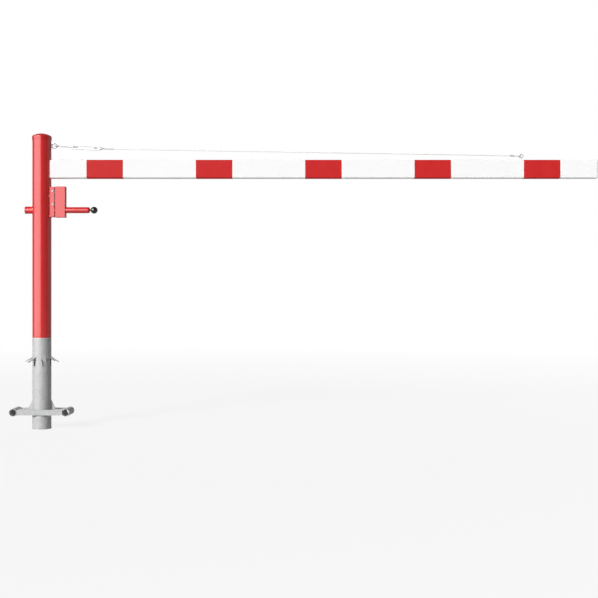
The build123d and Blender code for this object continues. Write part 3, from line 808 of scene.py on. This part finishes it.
def make_floor():
    """A pale floor that turns white with distance and keeps the shadow. In gloss it is grey."""
    half = 40.0
    edge = [(-half, -half, 0), (half, -half, 0), (half, half, 0), (-half, half, 0)]
    mesh = bpy.data.meshes.new("floor")
    mesh.from_pydata(edge, [], [(0, 1, 2, 3)])
    floor = bpy.data.objects.new("floor", mesh)
    bpy.context.scene.collection.objects.link(floor)
    made, tree, shader = new_material("pale_floor", Roughness=0.7, Specular_IOR_Level=0.1)
    shader.inputs["Base Color"].default_value = grey(0.65)
    place = object_place(tree)
    distance = tree.nodes.new("ShaderNodeVectorMath")
    distance.operation = "LENGTH"
    tree.links.new(place, distance.inputs[0])
    camera_ray, shiny_ray = watched_rays(tree)
    near_white, near, far = 0.84, 2.5, 9.0
    white = spread(tree, distance.outputs["Value"], near_white, 1.0, near, far)
    seen = calculate(tree, "MAXIMUM", camera_ray, shiny_ray)
    glow = tree.nodes.new("ShaderNodeEmission")
    in_gloss = 0.4
    tree.links.new(spread(tree, camera_ray, in_gloss, 1.0), glow.inputs["Strength"])
    mix = tree.nodes.new("ShaderNodeMixShader")
    tree.links.new(calculate(tree, "MULTIPLY", seen, white), mix.inputs[0])
    tree.links.new(shader.outputs[0], mix.inputs[1])
    tree.links.new(glow.outputs[0], mix.inputs[2])
    tree.links.new(mix.outputs[0], tree.nodes["Material Output"].inputs["Surface"])
    mesh.materials.append(made)


def make_world():
    """White where the camera sees it. In gloss, a grey wall behind the object that is paler
    to its right and darker overhead. For everything else, a dim room."""
    world = bpy.data.worlds.new("studio")
    bpy.context.scene.world = world
    world.use_nodes = True
    tree = world.node_tree
    tree.nodes.clear()
    direction = tree.nodes.new("ShaderNodeTexCoord")
    split = tree.nodes.new("ShaderNodeSeparateXYZ")
    tree.links.new(direction.outputs["Generated"], split.inputs["Vector"])
    behind = spread(tree, split.outputs["Y"], 0.0, 1.0, -0.25, 0.1)
    side = spread(tree, split.outputs["X"], 0.10, 0.50, 0.3, 0.8)
    low = spread(tree, split.outputs["Z"], 1.0, 0.3, 0.35, 0.6)
    camera_ray, shiny_ray = watched_rays(tree)
    backdrop = calculate(tree, "MULTIPLY", calculate(tree, "MULTIPLY", behind, side), low)
    seen = calculate(tree, "MAXIMUM", camera_ray, calculate(tree, "MULTIPLY", shiny_ray, backdrop))
    white = tree.nodes.new("ShaderNodeBackground")
    white.inputs["Color"].default_value = grey(1.0)
    white.inputs["Strength"].default_value = 1.0
    room = tree.nodes.new("ShaderNodeBackground")
    room.inputs["Color"].default_value = grey(1.0)
    room.inputs["Strength"].default_value = 0.14
    mix = tree.nodes.new("ShaderNodeMixShader")
    tree.links.new(seen, mix.inputs[0])
    tree.links.new(room.outputs[0], mix.inputs[1])
    tree.links.new(white.outputs[0], mix.inputs[2])
    out = tree.nodes.new("ShaderNodeOutputWorld")
    tree.links.new(mix.outputs[0], out.inputs["Surface"])


def aimed(made, place, target):
    """Puts a lamp at its place and turns it towards its target."""
    made.location = place
    made.rotation_euler = (Vector(target) - Vector(place)).to_track_quat("-Z", "Y").to_euler()
    bpy.context.scene.collection.objects.link(made)
    return made


def soft_sun(name, place, energy, angle):
    """A wide sun that shines from that place towards the origin."""
    sun = bpy.data.lights.new(name, "SUN")
    sun.energy = energy
    sun.angle = math.radians(angle)
    return aimed(bpy.data.objects.new(name, sun), place, (0, 0, 0))


def make_lights():
    """A soft sun from the left of the camera, a weak one from behind, and a wide soft box
    that shows only in gloss."""
    soft_sun("key_sun", (-2.9, -4.3, 2.7), 3.35, 18)
    fill = soft_sun("fill_sun", (-0.6, 4.0, 2.2), 0.9, 60)
    fill.visible_glossy = False
    box = bpy.data.lights.new("soft_box", "AREA")
    box.shape = "RECTANGLE"
    box.size, box.size_y = 5.6, 3.4
    radiance = 3.0
    box.energy = radiance * math.pi * box.size * box.size_y
    panel = aimed(bpy.data.objects.new("soft_box", box), (-2.05, -2.05, 1.9), (0, 0, 1.9))
    panel.visible_camera = False
    panel.visible_diffuse = False


def make_camera():
    """A level camera, square to the arm, that frames what the photograph frames."""
    camera = bpy.data.cameras.new("camera")
    camera.sensor_width = SENSOR_WIDTH
    camera.lens = FOCAL_PIXELS * SENSOR_WIDTH / IMAGE_SIZE
    made = bpy.data.objects.new("camera", camera)
    made.location = CAMERA_PLACE
    made.rotation_euler = (math.radians(90), 0, 0)
    bpy.context.scene.collection.objects.link(made)
    bpy.context.scene.camera = made


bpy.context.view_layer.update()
bpy.context.scene.view_settings.view_transform = "Standard"
make_camera()
make_world()
make_floor()
make_lights()
materials = make_materials()
dress_nodes(materials)
eye_rod(materials)
wire_stud(materials)
stay_rope(materials)
arm_screws(materials)
lock_screws(materials)
bolt_pin(materials)
all_nuts(materials)
post_welds(materials)
anchor_welds(materials)
